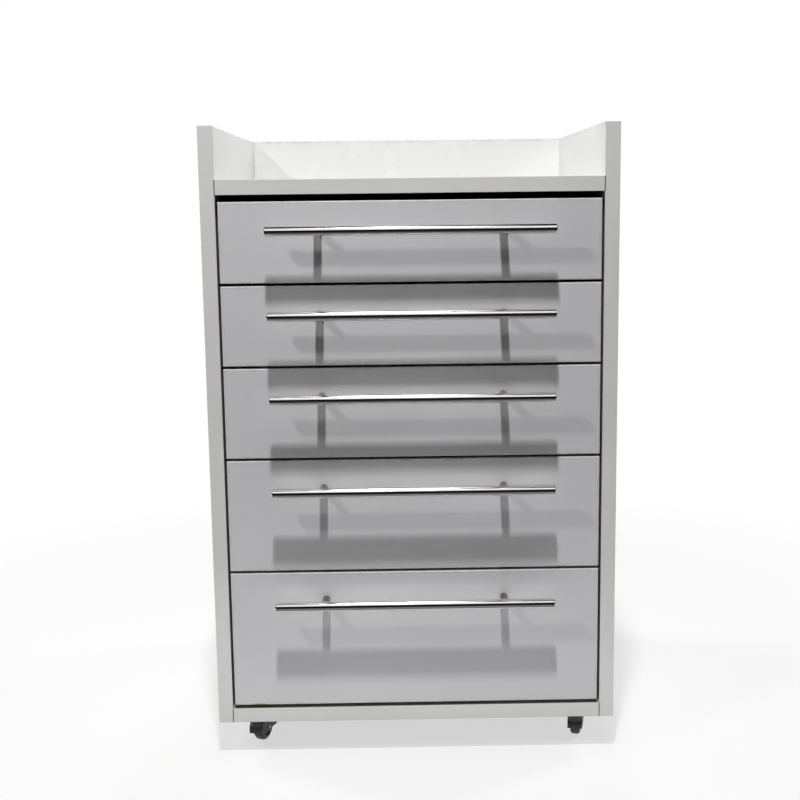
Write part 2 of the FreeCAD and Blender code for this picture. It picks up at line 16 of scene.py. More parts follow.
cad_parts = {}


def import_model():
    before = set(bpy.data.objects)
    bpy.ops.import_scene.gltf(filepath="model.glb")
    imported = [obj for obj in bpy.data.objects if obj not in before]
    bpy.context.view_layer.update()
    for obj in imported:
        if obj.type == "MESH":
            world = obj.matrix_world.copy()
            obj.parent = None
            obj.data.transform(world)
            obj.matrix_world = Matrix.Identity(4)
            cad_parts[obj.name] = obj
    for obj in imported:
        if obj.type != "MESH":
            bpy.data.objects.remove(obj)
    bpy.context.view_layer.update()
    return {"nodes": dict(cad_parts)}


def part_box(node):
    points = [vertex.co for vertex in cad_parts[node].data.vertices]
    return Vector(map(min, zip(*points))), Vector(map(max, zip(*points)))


Triple = tuple[float, float, float]
Colour = Triple
Pair = tuple[float, float]
Term = "Wire | float"

log = logging.getLogger("cabinet")

# Names and sizes

DRAWERS = (1, 2, 3, 4, 5)
CORNERS = ("front_left", "front_right", "rear_left", "rear_right")
MM = 0.001
EDGE_RADIUS = 0.9 * MM  # eases the sharp edges of the boards and bands
EDGE_SAMPLES = 4
STAIN_INSET = 32 * MM  # from the lowest front's left end to the middle of its stain
SQUARE_ON = 0.5  # the share above which a face counts as looking along an axis
NOISE_MIDDLE = 0.5
WHITE: Colour = (1.0, 1.0, 1.0)


class Axis(Enum):
    """A direction of the frame, by its place in a vector."""

    X = 0
    Y = 1
    Z = 2


# Shader maths

class Wire:
    """A value, colour or vector that flows through a material, with arithmetic that adds nodes."""

    def __init__(self, graph: "Graph", socket: bpy.types.NodeSocket) -> None:
        """Keep the socket and the graph that it belongs to."""
        self.graph = graph
        self.socket = socket

    def __add__(self, other: Term) -> "Wire":
        """This value plus another."""
        return self.graph.maths("ADD", self, other)

    __radd__ = __add__

    def __sub__(self, other: Term) -> "Wire":
        """This value less another."""
        return self.graph.maths("SUBTRACT", self, other)

    def __rsub__(self, other: Term) -> "Wire":
        """Another value less this one."""
        return self.graph.maths("SUBTRACT", other, self)

    def __mul__(self, other: Term) -> "Wire":
        """This value times another."""
        return self.graph.maths("MULTIPLY", self, other)

    __rmul__ = __mul__

    def __truediv__(self, other: Term) -> "Wire":
        """This value divided by another."""
        return self.graph.maths("DIVIDE", self, other)

    def __abs__(self) -> "Wire":
        """This value without its sign."""
        return self.graph.maths("ABSOLUTE", self)

    def __lt__(self, other: Term) -> "Wire":
        """One where this value is the smaller, else nought."""
        return self.graph.maths("LESS_THAN", self, other)

    def least(self, other: Term) -> "Wire":
        """The smaller of this value and another."""
        return self.graph.maths("MINIMUM", self, other)

    def most(self, other: Term) -> "Wire":
        """The larger of this value and another."""
        return self.graph.maths("MAXIMUM", self, other)

    def rise(self, start: float, end: float, low: float = 0.0, high: float = 1.0) -> "Wire":
        """A smooth step between two values.

        Args:
            start: Where the step starts, which may be above its end.
            end: Where the step ends.
            low: The result before the start.
            high: The result past the end.

        Returns:
            The stepped value.
        """
        sizes = {"Value": self, "From Min": start, "From Max": end, "To Min": low, "To Max": high}
        return self.graph.node("ShaderNodeMapRange", {"interpolation_type": "SMOOTHSTEP"}, sizes)


class Graph:
    """The node tree of one material or world."""

    def __init__(self, tree: bpy.types.NodeTree) -> None:
        """Start from an empty tree."""
        self.tree = tree
        self.tree.nodes.clear()

    def node(
        self, kind: str, settings: dict | None = None, values: dict | None = None, output: str | int = 0
    ) -> Wire:
        """Add any node.

        Args:
            kind: The node's type.
            settings: Its settings, which are set before its sockets.
            values: A value or a wire for each named socket.
            output: The name or number of the output that is wanted.

        Returns:
            The wire that leaves the node.
        """
        made = self.tree.nodes.new(kind)
        for name, value in (settings or {}).items():
            setattr(made, name, value)
        for name, value in (values or {}).items():
            socket = next(s for s in made.inputs if s.enabled and name in (s.name, s.identifier))
            if isinstance(value, Wire):
                self.tree.links.new(value.socket, socket)
            elif socket.type == "RGBA":
                socket.default_value = (*value, 1.0)
            else:
                socket.default_value = value
        outputs = [s for s in made.outputs if s.enabled]
        chosen = outputs[output] if isinstance(output, int) else made.outputs[output]
        return Wire(self, chosen)

    def maths(self, operation: str, *terms: Term) -> Wire:
        """Add a Math node.

        Args:
            operation: The node's operation.
            terms: The values or wires that it works on.

        Returns:
            The wire that leaves the node.
        """
        made = self.tree.nodes.new("ShaderNodeMath")
        made.operation = operation
        for socket, term in zip(made.inputs, terms):
            if isinstance(term, Wire):
                self.tree.links.new(term.socket, socket)
            else:
                socket.default_value = term
        return Wire(self, made.outputs[0])

    def place(self) -> Wire:
        """The point on the surface, in the frame's metres."""
        return self.node("ShaderNodeTexCoord", output="Object")

    def facing(self) -> list[Wire]:
        """How far the surface faces along X, Y and Z."""
        return self.split(self.node("ShaderNodeTexCoord", output="Normal"))

    def split(self, vector: Wire) -> list[Wire]:
        """Part a vector.

        Args:
            vector: The vector.

        Returns:
            Its X, Y and Z.
        """
        first = self.node("ShaderNodeSeparateXYZ", values={"Vector": vector})
        outputs = first.socket.node.outputs
        return [Wire(self, outputs[axis.value]) for axis in Axis]

    def stretch(self, vector: Wire, scale: Triple) -> Wire:
        """A vector scaled by its own number along each axis."""
        values = {"Vector": vector, "Vector_001": scale}
        return self.node("ShaderNodeVectorMath", {"operation": "MULTIPLY"}, values)

    def blend(self, share: Term, first: Colour | Wire, second: Colour | Wire) -> Wire:
        """Mix two colours.

        Args:
            share: The second colour's share.
            first: The colour at a share of nought.
            second: The colour at a share of one.

        Returns:
            The mixed colour.
        """
        values = {"Factor_Float": share, "A_Color": first, "B_Color": second}
        return self.node("ShaderNodeMix", {"data_type": "RGBA"}, values)

    def bump(self, height: Wire, depth: float, eased: float = 0.0) -> Wire:
        """A bumped normal.

        Args:
            height: The height map.
            depth: The map's real depth.
            eased: The radius that sharp edges are eased to, or nought to leave them.

        Returns:
            The normal.
        """
        values = {"Height": height, "Distance": depth}
        if eased:
            values["Normal"] = self.node("ShaderNodeBevel", {"samples": EDGE_SAMPLES}, {"Radius": eased})
        return self.node("ShaderNodeBump", values=values, output="Normal")

    def coat(self, colour: Wire, rough: Wire, normal: Wire, metallic: float = 0.0) -> Wire:
        """The shader of a finish, from its colour, roughness and normal."""
        values = {"Base Color": colour, "Metallic": metallic, "Roughness": rough, "Normal": normal}
        return self.node("ShaderNodeBsdfPrincipled", values=values)

    def finish(self, shader: Wire, kind: str = "ShaderNodeOutputMaterial") -> None:
        """Send a shader to the output of a material, or of a world."""
        output = self.tree.nodes.new(kind)
        self.tree.links.new(shader.socket, output.inputs["Surface"])


def new_material(name: str) -> tuple[bpy.types.Material, Graph]:
    """Add a material with an empty graph.

    Args:
        name: The material's name.

    Returns:
        The material and its graph.
    """
    made = bpy.data.materials.new(name)
    made.use_nodes = True
    return made, Graph(made.node_tree)


@dataclass(frozen=True)
class Speckle:
    """A random pattern: how fine, how detailed and how ragged it is, and where its patches end."""

    scale: float
    detail: float
    ragged: float = 0.5
    edge: Pair = (0.3, 0.7)

    def noise(self, graph: Graph, point: Wire) -> Wire:
        """The plain pattern, from nought to one."""
        sizes = {"Vector": point, "Scale": self.scale, "Detail": self.detail, "Roughness": self.ragged}
        return graph.node("ShaderNodeTexNoise", values=sizes)

    def patches(self, graph: Graph, point: Wire) -> Wire:
        """The pattern as patches: one on them and nought between them."""
        return self.noise(graph, point).rise(*self.edge)


# Finishes

@dataclass(frozen=True)
class Block:
    """The lowest and highest corners of a piece."""

    low: Vector
    high: Vector

    def edge_distance(self, graph: Graph, spot: list[Wire]) -> Wire:
        """How far a point on the block's surface is from the block's nearest edge.

        Args:
            graph: The graph that the nodes go to.
            spot: The X, Y and Z of the point.

        Returns:
            The middle one of the distances to the three pairs of faces.
        """
        middle = (self.low + self.high) / 2
        half = (self.high - self.low) / 2
        a, b, c = (half[i.value] - abs(spot[i.value] - middle[i.value]) for i in Axis)
        return a.least(b).most(a.most(b).least(c))


@dataclass(frozen=True)
class Finish:
    """What every finish has: a name, a colour and a roughness."""

    name: str
    colour: Colour
    rough: float

    def tint(self, share: float) -> Colour:
        """The finish's colour made darker or lighter by a share."""
        return tuple(min(1.0, part * share) for part in self.colour)

    def material(self, block: Block) -> bpy.types.Material:
        """Make the finish's material for one piece.

        Args:
            block: The piece's box.

        Returns:
            The material.
        """
        made, graph = new_material(self.name)
        graph.finish(self.shade(graph, block))
        return made

    def shade(self, graph: Graph, block: Block) -> Wire:
        """Build the finish's shader.

        Args:
            graph: The graph that the nodes go to.
            block: The piece's box.

        Returns:
            The shader.
        """
        raise NotImplementedError

    def dress(self, piece: bpy.types.Object) -> None:
        """Give a piece this finish all over.

        Args:
            piece: The piece.
        """
        corners = [Vector(corner) for corner in piece.bound_box]
        low = Vector(map(min, zip(*corners)))
        high = Vector(map(max, zip(*corners)))
        made = self.material(Block(low, high))
        if not piece.material_slots:
            piece.data.materials.append(made)
        for slot in piece.material_slots:
            slot.material = made
        log.info("%s is finished in %s", piece.name, self.name)


@dataclass(frozen=True)
class FacedBoard(Finish):
    """Melamine faced chipboard: a pearled white face, small scuffs, edge wear with painted shade, and raw
    core at its cut edges.
    """

    thin: Axis = Axis.X
    raw_edges: bool = True
    pearl: Speckle = Speckle(700.0, 1.0)
    pearl_depth: float = 0.03 * MM
    mottle: Speckle = Speckle(5.0, 3.0)
    mottle_tints: Pair = (1.02, 0.975)
    mottle_share: float = 1.0
    smudge: Speckle = Speckle(11.0, 4.0, 0.6, (0.35, 0.75))
    smudge_rough: float = 0.09
    grime_and_shade: Colour = (0.36, 0.33, 0.28)
    rub_and_shade_share: float = 0.3
    rub_and_shade_reach: float = 5 * MM
    rubbed_and_shaded: Speckle = Speckle(60.0, 4.0, 0.65, (0.42, 0.66))
    scuffs: Speckle = Speckle(1.6, 5.0, 0.7, (0.66, 0.72))
    scuff_stretch: Triple = (90.0, 90.0, 7.0)
    scuff_share: float = 0.12
    scuff_rough: float = 0.15
    dust_and_shade_top: float = 0.0
    upward_slope: Pair = (0.5, 0.9)
    gap_shade_top: float | None = None
    gap_shade_depth: float = 24 * MM
    gap_shade_share: float = 0.9
    core: Colour = (0.42, 0.28, 0.155)
    core_dark: Colour = (0.2, 0.12, 0.06)
    core_rough: float = 0.9
    core_relief: float = 6.0
    flakes: Speckle = Speckle(420.0, 4.0)
    flake_stretch: Triple = (1.0, 0.45, 0.45)
    flake_share: float = 0.7
    flake_edge: Pair = (0.2, 1.0)
    fibres: Speckle = Speckle(1050.0, 3.0)
    fibre_share: float = 0.5

    def shade(self, graph: Graph, block: Block) -> Wire:
        """Build the board's shader from its face, its painted shade and dusting, and its core.

        Args:
            graph: The graph that the nodes go to.
            block: The piece's box.

        Returns:
            The shader.
        """
        point = graph.place()
        spot = graph.split(point)
        colour, rough = self.face(graph, point, spot, block)
        # Upward faces are darkened: partly dusting, partly painted shade.
        if self.dust_and_shade_top:
            up = graph.facing()[Axis.Z.value].rise(*self.upward_slope)
            colour = graph.blend(up * self.dust_and_shade_top, colour, self.grime_and_shade)
        # Painted shade: a dark strip on a side panel's inner face beside the drawer fronts, where the gaps
        # fall in shadow.
        if self.gap_shade_top is not None:
            strip_shade = self.gap_shade_strip(spot, block) * self.gap_shade_share
            colour = graph.blend(strip_shade, colour, self.grime_and_shade)
        height = self.pearl.noise(graph, point)
        if self.raw_edges:
            raw = self.hidden_edges(graph)
            colour = graph.blend(raw, colour, self.core_colour(graph, point))
            rough = rough + raw * (self.core_rough - rough)
            height = height + raw * self.flakes.noise(graph, point) * self.core_relief
        return graph.coat(colour, rough, graph.bump(height, self.pearl_depth, EDGE_RADIUS))

    def face(self, graph: Graph, point: Wire, spot: list[Wire], block: Block) -> tuple[Wire, Wire]:
        """The colour and roughness of the melamine face.

        Args:
            graph: The graph that the nodes go to.
            point: The point on the surface.
            spot: The X, Y and Z of the point.
            block: The board's box.

        Returns:
            The colour and the roughness.
        """
        light, dark = (self.tint(share) for share in self.mottle_tints)
        colour = graph.blend(self.mottle.patches(graph, point) * self.mottle_share, light, dark)
        # Patchy darkening within a few mm of the board's edges: partly edge wear, partly painted shade where
        # boards meet.
        edge = block.edge_distance(graph, spot)
        rubbed_and_shaded = edge.rise(self.rub_and_shade_reach, 0.0) * self.rubbed_and_shaded.patches(graph, point)
        colour = graph.blend(rubbed_and_shaded * self.rub_and_shade_share, colour, self.grime_and_shade)
        scuffs = self.scuffs.patches(graph, graph.stretch(point, self.scuff_stretch))
        colour = graph.blend(scuffs * self.scuff_share, colour, self.grime_and_shade)
        smudge = self.smudge.patches(graph, point)
        rough = self.rough + smudge * self.mottle_share * self.smudge_rough + scuffs * self.scuff_rough
        return colour, rough

    def gap_shade_strip(self, spot: list[Wire], block: Block) -> Wire:
        """The strip of painted shade beside the drawer fronts, on a side panel's inner face.

        Args:
            spot: The X, Y and Z of the point.
            block: The panel's box.

        Returns:
            One on the strip, and nought on the panel's outer face and above the drawers.
        """
        inner = min(block.low.x, block.high.x, key=abs)
        near = abs(spot[Axis.X.value] - inner) < MM
        strip = spot[Axis.Y.value] < block.low.y + self.gap_shade_depth
        return near * strip * (spot[Axis.Z.value] < self.gap_shade_top)

    def hidden_edges(self, graph: Graph) -> Wire:
        """One on the cut edges, but for those that look up."""
        facing = graph.facing()
        return (abs(facing[self.thin.value]) < SQUARE_ON) * (facing[Axis.Z.value] < SQUARE_ON)

    def core_colour(self, graph: Graph, point: Wire) -> Wire:
        """The colour of the pressed wood flakes.

        Args:
            graph: The graph that the nodes go to.
            point: The point on the surface.

        Returns:
            The colour.
        """
        flat = graph.stretch(point, self.flake_stretch)
        sizes = {"Vector": flat, "Scale": self.flakes.scale}
        cells = graph.node("ShaderNodeTexVoronoi", values=sizes, output="Color")
        level = graph.node("ShaderNodeSeparateColor", values={"Color": cells}, output="Red")
        mixed = level * self.flake_share + self.fibres.noise(graph, flat) * self.fibre_share
        return graph.blend(mixed.rise(*self.flake_edge), self.core_dark, self.core)


@dataclass(frozen=True)
class FrontBoard(FacedBoard):
    """A drawer front: the same board, banded all round, with handling marks, painted shade on its hidden
    edges and one old stain.
    """

    raw_edges: bool = False
    thin: Axis = Axis.Y
    touched: Speckle = Speckle(26.0, 5.0, 0.65, (0.4, 0.7))
    touched_reach: Pair = (0.19, 0.05)
    touched_rough: float = 0.05
    edge_painted_shade: float = 0.6
    stain: Colour = (0.33, 0.3, 0.1)
    stain_spot: Pair | None = None
    stain_reach: Pair = (14 * MM, 2.2 * MM)
    stain_rim: Speckle = Speckle(300.0, 3.0)
    stain_ragged: float = 0.8
    stain_edge: Pair = (1.5, 0.9)
    stain_share: float = 0.85

    def face(self, graph: Graph, point: Wire, spot: list[Wire], block: Block) -> tuple[Wire, Wire]:
        """The board's face, with touch marks round the handle, hidden edges darkened as painted shade, and
        the stain.

        Args:
            graph: The graph that the nodes go to.
            point: The point on the surface.
            spot: The X, Y and Z of the point.
            block: The front's box.

        Returns:
            The colour and the roughness.
        """
        colour, rough = super().face(graph, point, spot, block)
        middle = (block.low.x + block.high.x) / 2
        across = abs(spot[Axis.X.value] - middle).rise(*self.touched_reach)
        rough = rough + across * self.touched.patches(graph, point) * self.touched_rough
        # Painted shade: the front's edges that face the gaps are darkened.
        colour = graph.blend(self.hidden_edges(graph) * self.edge_painted_shade, colour, self.grime_and_shade)
        if self.stain_spot is None:
            return colour, rough
        x, z = self.stain_spot
        reach_x, reach_z = self.stain_reach
        aside = (spot[Axis.X.value] - x) / reach_x
        above = (spot[Axis.Z.value] - z) / reach_z
        distance = graph.maths("SQRT", aside * aside + above * above)
        distance = distance + self.stain_rim.noise(graph, point) * self.stain_ragged
        return graph.blend(distance.rise(*self.stain_edge) * self.stain_share, colour, self.stain), rough


@dataclass(frozen=True)
class EdgeBand(Finish):
    """A plastic band on a board's edge: even, with fine drawn lines, a few knocks, and dark seams."""

    mottle: Speckle = Speckle(9.0, 3.0)
    mottle_tints: Pair = (0.97, 1.02)
    mottle_rough: float = 0.06
    knock: Colour = (0.4, 0.38, 0.33)
    knocks: Speckle = Speckle(130.0, 4.0, 0.7, (0.7, 0.76))
    knock_share: float = 0.3
    knock_rough: float = 0.2
    lines: Speckle = Speckle(900.0, 2.0)
    line_stretch: Triple = (1.0, 1.0, 0.02)
    line_depth: float = 0.015 * MM
    seam: Colour = (0.07, 0.062, 0.05)
    seam_reach: Pair = (0.9 * MM, 0.3 * MM)
    seams: tuple[Block, ...] = ()

    def shade(self, graph: Graph, block: Block) -> Wire:
        """Build the band's shader.

        Args:
            graph: The graph that the nodes go to.
            block: The piece's box.

        Returns:
            The shader.
        """
        point = graph.place()
        mottle = self.mottle.noise(graph, point)
        dark, light = (self.tint(share) for share in self.mottle_tints)
        colour = graph.blend(mottle.rise(*self.mottle.edge), dark, light)
        knocks = self.knocks.patches(graph, point)
        colour = graph.blend(knocks * self.knock_share, colour, self.knock)
        for board in self.seams:
            colour = graph.blend(self.seam_mask(graph, board), colour, self.seam)
        lines = self.lines.noise(graph, graph.stretch(point, self.line_stretch))
        rough = self.rough + mottle * self.mottle_rough + knocks * self.knock_rough
        return graph.coat(colour, rough, graph.bump(lines, self.line_depth, EDGE_RADIUS))

    def seam_mask(self, graph: Graph, board: Block) -> Wire:
        """The dark seams where the side panels' bands meet the band of a board between them.

        Args:
            graph: The graph that the nodes go to.
            board: The box of the board.

        Returns:
            One on the seams at the board's two ends.
        """
        spot = graph.split(graph.place())
        line = abs(abs(spot[Axis.X.value]) - board.high.x).rise(*self.seam_reach)
        middle = (board.low.z + board.high.z) / 2
        return line * (abs(spot[Axis.Z.value] - middle) < (board.high.z - board.low.z) / 2)


@dataclass(frozen=True)
class HardSheet(Finish):
    """Lacquered hardboard: a thin even coat through which the pressed fibres show faintly."""

    fibres: Speckle = Speckle(260.0, 5.0, 0.7, (0.35, 0.65))
    fibre_tints: Pair = (0.94, 1.03)
    fibre_depth: float = 0.05 * MM
    fibre_rough: float = 0.15
    dust_and_sheen: Colour = (0.5, 0.48, 0.44)
    dust_and_sheen_spots: Speckle = Speckle(8.0, 5.0, 0.6, (0.5, 0.8))
    dust_and_sheen_share: float = 0.14

    def shade(self, graph: Graph, block: Block) -> Wire:
        """Build the sheet's shader.

        Args:
            graph: The graph that the nodes go to.
            block: The piece's box.

        Returns:
            The shader.
        """
        point = graph.place()
        fibres = self.fibres.noise(graph, point)
        dark, light = (self.tint(share) for share in self.fibre_tints)
        colour = graph.blend(fibres.rise(*self.fibres.edge), dark, light)
        colour = graph.blend(self.dust_and_sheen_spots.patches(graph, point) * self.dust_and_sheen_share, colour, self.dust_and_sheen)
        rough = self.rough + fibres * self.fibre_rough
        return graph.coat(colour, rough, graph.bump(fibres, self.fibre_depth))


@dataclass(frozen=True)
class Metal(Finish):
    """Bare or plated steel with fine lines along one axis and duller handled patches.

    A handle's posts are painted darker than its bar, as painted shade: they start behind a given Y.
    """

    lines: Speckle = Speckle(900.0, 3.0)
    lines_along: Axis = Axis.Y
    line_stretch: float = 0.03
    line_depth: float = 0.004 * MM
    line_share: float = 0.08
    worn: Speckle = Speckle(35.0, 4.0, 0.6, (0.4, 0.75))
    patch_share: float = 0.05
    dull: float = 0.85
    posts_behind: float | None = None
    post_reach: float = 1.5 * MM
    post_painted_shade: Colour = (0.2, 0.185, 0.17)

    def shade(self, graph: Graph, block: Block) -> Wire:
        """Build the metal's shader.

        Args:
            graph: The graph that the nodes go to.
            block: The piece's box.

        Returns:
            The shader.
        """
        point = graph.place()
        scale = tuple(self.line_stretch if axis is self.lines_along else 1.0 for axis in Axis)
        lines = self.lines.noise(graph, graph.stretch(point, scale))
        worn = self.worn.patches(graph, point)
        colour = graph.blend(worn, self.colour, self.tint(self.dull))
        # Painted shade: the posts behind the bar are darkened.
        if self.posts_behind is not None:
            behind = graph.split(point)[Axis.Y.value].rise(
                self.posts_behind, self.posts_behind + self.post_reach
            )
            colour = graph.blend(behind, colour, self.post_painted_shade)
        rough = self.rough + (lines - NOISE_MIDDLE) * self.line_share + worn * self.patch_share
        return graph.coat(colour, rough, graph.bump(lines, self.line_depth), metallic=1.0)


@dataclass(frozen=True)
class Moulding(Finish):
    """Moulded plastic with a fine spark-eroded grain, and lighter dusting that is partly a painted
    highlight, most of it where it looks up.
    """

    grain: Speckle = Speckle(1500.0, 3.0, 0.6)
    grain_depth: float = 0.03 * MM
    grain_rough: float = 0.1
    dust_and_sheen: Colour = (0.3, 0.29, 0.27)
    dust_and_sheen_spots: Speckle = Speckle(120.0, 5.0, 0.7, (0.38, 0.72))
    upward_slope: Pair = (-0.4, 0.9)
    dust_and_sheen_below: float = 0.3
    dust_and_sheen_share: float = 0.3
    dust_rough: float = 0.5

    def shade(self, graph: Graph, block: Block) -> Wire:
        """Build the moulding's shader.

        Args:
            graph: The graph that the nodes go to.
            block: The piece's box.

        Returns:
            The shader.
        """
        point = graph.place()
        grain = self.grain.noise(graph, point)
        # Upward faces get more of the lighter dusting: partly real, partly a painted highlight.
        up = graph.facing()[Axis.Z.value].rise(*self.upward_slope)
        dust_and_sheen_layer = up * (1.0 - self.dust_and_sheen_below) + self.dust_and_sheen_below
        dust_and_sheen_spots = dust_and_sheen_layer * self.dust_and_sheen_spots.patches(graph, point) * self.dust_and_sheen_share
        colour = graph.blend(dust_and_sheen_spots, self.colour, self.dust_and_sheen)
        rough = self.rough + dust_and_sheen_spots * self.dust_rough + (grain - NOISE_MIDDLE) * self.grain_rough
        return graph.coat(colour, rough, graph.bump(grain, self.grain_depth))


CARCASS_WHITE: Colour = (0.87, 0.873, 0.866)
BOX_WHITE: Colour = (0.7, 0.7, 0.685)

SIDE_BOARD = FacedBoard("side_melamine", CARCASS_WHITE, 0.3)
TRAY_BOARD = FacedBoard("tray_melamine", (0.7, 0.7, 0.69), 0.34, thin=Axis.Z)
# The bottom board's upward faces are darkened: partly dusting, partly painted shade.
FLOOR_BOARD = FacedBoard("floor_melamine", CARCASS_WHITE, 0.4, thin=Axis.Z, dust_and_shade_top=0.8)
UPRIGHT_BOARD = FacedBoard("upright_melamine", (0.86, 0.865, 0.87), 0.26, thin=Axis.Y, mottle_share=0.3)
CARCASS_BAND = EdgeBand("edge_band_plastic", (0.86, 0.862, 0.848), 0.32)
BACK_SHEET = HardSheet("back_hardboard", (0.68, 0.68, 0.665), 0.45)

FRONT_BOARD = FrontBoard("front_melamine", (0.755, 0.75, 0.775), 0.3)
BOX_SIDE_BOARD = FacedBoard("box_side_melamine", BOX_WHITE, 0.4, thin=Axis.X)
BOX_END_BOARD = FacedBoard("box_end_melamine", BOX_WHITE, 0.4, thin=Axis.Y)
BOX_SHEET = HardSheet("drawer_hardboard", (0.66, 0.66, 0.645), 0.42)

HANDLE_STEEL = Metal(
    "handle_steel",
    (0.8, 0.79, 0.77),
    0.09,
    lines_along=Axis.Z,
    line_share=0.03,
    patch_share=0.04,
    dull=0.95,
)
RUNNER_STEEL = Metal("rolled_zinc", (0.55, 0.56, 0.57), 0.32, line_share=0.15)
SCREW_STEEL = Metal("screw_zinc", (0.6, 0.6, 0.57), 0.3)
CASTER_STEEL = Metal("pressed_zinc", (0.5, 0.5, 0.49), 0.36)

PLUG = Moulding("plug_plastic_white", (0.7, 0.7, 0.675), 0.35, dust_and_sheen_share=0.15, grain_depth=0.01 * MM)
HOOD = Moulding("caster_plastic_black", (0.022, 0.022, 0.023), 0.42)
TYRE = Moulding("wheel_plastic_black", (0.028, 0.028, 0.029), 0.36, dust_and_sheen_share=0.45)


# The cabinet's parts

@dataclass(frozen=True)
class Carcass:
    """The fixed body: boards, bands, back sheet, screws, plugs and caster plates."""

    def dress(self, nodes: dict[str, bpy.types.Object]) -> None:
        """Give each fixed piece its finish.

        Args:
            nodes: The frame's nodes by name.
        """
        seams = tuple(Block(*map(Vector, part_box(board))) for board in ("top_board", "bottom_board"))
        # The side panels get a strip of painted shade on their inner faces, below the top board.
        side_board = replace(SIDE_BOARD, gap_shade_top=seams[0].low.z)
        finishes = {
            "side_panel_left": side_board,
            "side_panel_right": side_board,
            "top_board": TRAY_BOARD,
            "bottom_board": FLOOR_BOARD,
            "tray_upstand": UPRIGHT_BOARD,
            "back_sheet": BACK_SHEET,
            "carcass_edge_band": replace(CARCASS_BAND, seams=seams),
            "carcass_screws": SCREW_STEEL,
            "screw_plugs": PLUG,
            "runner_cabinet_members": RUNNER_STEEL,
            "runner_screws": SCREW_STEEL,
            "caster_plates": CASTER_STEEL,
            "caster_plate_screws": SCREW_STEEL,
        }
        for name, finish in finishes.items():
            finish.dress(nodes[name])


@dataclass(frozen=True)
class Drawer:
    """One drawer: its front, box, handle and runners."""

    number: int
    stain_spot: Pair | None = None
    bar_width: float = 12 * MM

    def dress(self, nodes: dict[str, bpy.types.Object]) -> None:
        """Give each piece of the drawer its finish.

        Args:
            nodes: The frame's nodes by name.
        """
        front = replace(FRONT_BOARD, name=f"front_{self.number}_melamine", stain_spot=self.stain_spot)
        bar_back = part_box(f"handle_{self.number}")[0].y + self.bar_width
        # The handle's posts, behind the bar's back, get painted shade.
        steel = replace(HANDLE_STEEL, name=f"handle_{self.number}_steel", posts_behind=bar_back)
        finishes = {
            "drawer_front": front,
            "drawer_sides": BOX_SIDE_BOARD,
            "drawer_ends": BOX_END_BOARD,
            "drawer_bottom": BOX_SHEET,
            "handle": steel,
            "runner_drawer_members": RUNNER_STEEL,
            "runner_middle_members": RUNNER_STEEL,
        }
        for name, finish in finishes.items():
            finish.dress(nodes[f"{name}_{self.number}"])


@dataclass(frozen=True)
class Caster:
    """One swivel caster: its hood, its wheel and its axle."""

    corner: str

    def dress(self, nodes: dict[str, bpy.types.Object]) -> None:
        """Give each piece of the caster its finish.

        Args:
            nodes: The frame's nodes by name.
        """
        HOOD.dress(nodes[f"caster_housing_{self.corner}"])
        TYRE.dress(nodes[f"caster_wheel_{self.corner}"])
        CASTER_STEEL.dress(nodes[f"caster_axle_{self.corner}"])


# The stage

@dataclass(frozen=True)
class PhotoCamera:
    """The viewpoint of the photograph, with angles in degrees and picture places in its pixels."""

    place: Triple = (-0.0134, -1.7061, 0.7066)
    yaw: float = 0.776
    pitch: float = 8.912
    roll: float = -0.663
    focal: float = 1231.1
    centre: Pair = (418.2, 391.3)
    picture: float = 800.0
    sensor: float = 36.0

    def build(self) -> None:
        """Make the camera and hand it to the scene."""
        yaw, pitch, roll = (math.radians(angle) for angle in (self.yaw, self.pitch, self.roll))
        forward = Vector(
            (math.sin(yaw) * math.cos(pitch), math.cos(yaw) * math.cos(pitch), -math.sin(pitch))
        )
        level = Vector((math.cos(yaw), -math.sin(yaw), 0.0))
        upright = level.cross(forward)
        right = level * math.cos(roll) + upright * math.sin(roll)
        up = upright * math.cos(roll) - level * math.sin(roll)
        lens = bpy.data.cameras.new("photo_camera")
        lens.sensor_width = self.sensor
        lens.lens = self.focal / self.picture * self.sensor
        lens.shift_x = 0.5 - self.centre[0] / self.picture
        lens.shift_y = self.centre[1] / self.picture - 0.5
        camera = bpy.data.objects.new("photo_camera", lens)
        turn = Matrix((right, up, -forward)).transposed()
        camera.matrix_world = Matrix.Translation(self.place) @ turn.to_4x4()
        bpy.context.scene.collection.objects.link(camera)
        bpy.context.scene.camera = camera


@dataclass(frozen=True)
class Lamp:
    """A soft rectangular lamp that looks at a spot on the cabinet, its power in watts."""

    name: str
    place: Triple
    width: float
    depth: float
    power: float
    colour: Colour = WHITE
    aim: Triple = (0.0, -0.2, 0.45)
    seen_in_metal: bool = True
    spread: float = 180.0

    def build(self) -> None:
        """Make the lamp, its depth lying in the upright plane through the spot."""
        light = bpy.data.lights.new(self.name, "AREA")
        light.shape = "RECTANGLE"
        light.size = self.width
        light.size_y = self.depth
        light.energy = self.power
        light.color = self.colour
        light.spread = math.radians(self.spread)
        lamp = bpy.data.objects.new(self.name, light)
        lamp.location = self.place
        way = Vector(self.aim) - Vector(self.place)
        lamp.rotation_euler = way.to_track_quat("-Z", "Y").to_euler()
        lamp.visible_camera = False
        lamp.visible_glossy = self.seen_in_metal
        bpy.context.scene.collection.objects.link(lamp)


